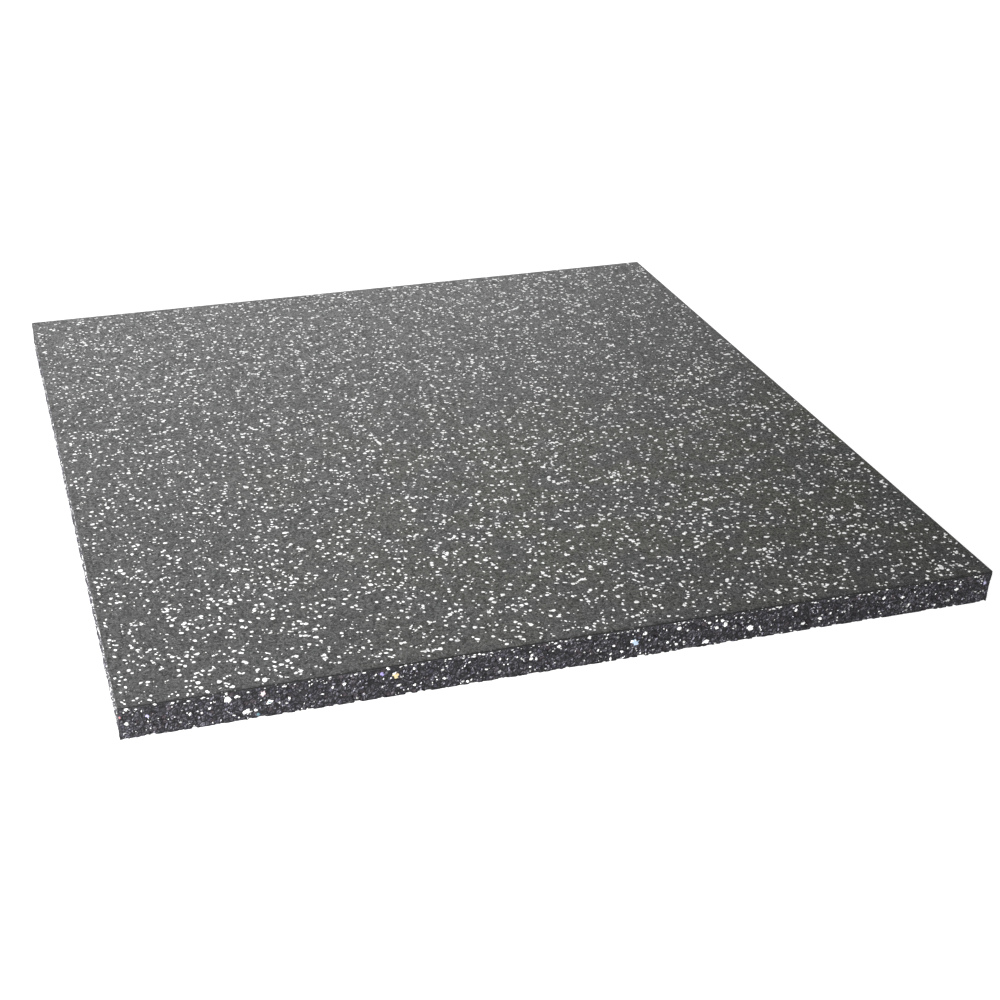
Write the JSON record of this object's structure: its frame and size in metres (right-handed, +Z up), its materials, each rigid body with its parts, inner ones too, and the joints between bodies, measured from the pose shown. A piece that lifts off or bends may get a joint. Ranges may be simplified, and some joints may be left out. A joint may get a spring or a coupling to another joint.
{
  "type": "rubber floor tile",
  "caption": "Square, flat moulded crumb-rubber floor tile with straight butt edges, a fine flecked walking face and a coarse granular base.",
  "frame": {"origin": "centre of the flat underside, on the floor that the tile lies on", "axes": "+Z up through the thickness, towards the walking face; X and Y along the straight edges, with -Y at the edge nearest the picture's camera"},
  "size_m": [0.5, 0.5, 0.0205],
  "materials": {
    "crumb_rubber": "matt charcoal crumb rubber with fine white flecks, coarser and rougher below the top course",
    "white_fleck": "matt white rubber granules bound into the crumb and pressed flush with its faces",
    "coloured_chip": "stray granules of coloured rubber in the coarse base, blue, violet, pink and sand"
  },
  "bodies": {
    "root": {"tile": "crumb_rubber"}
  },
  "joints": []
}
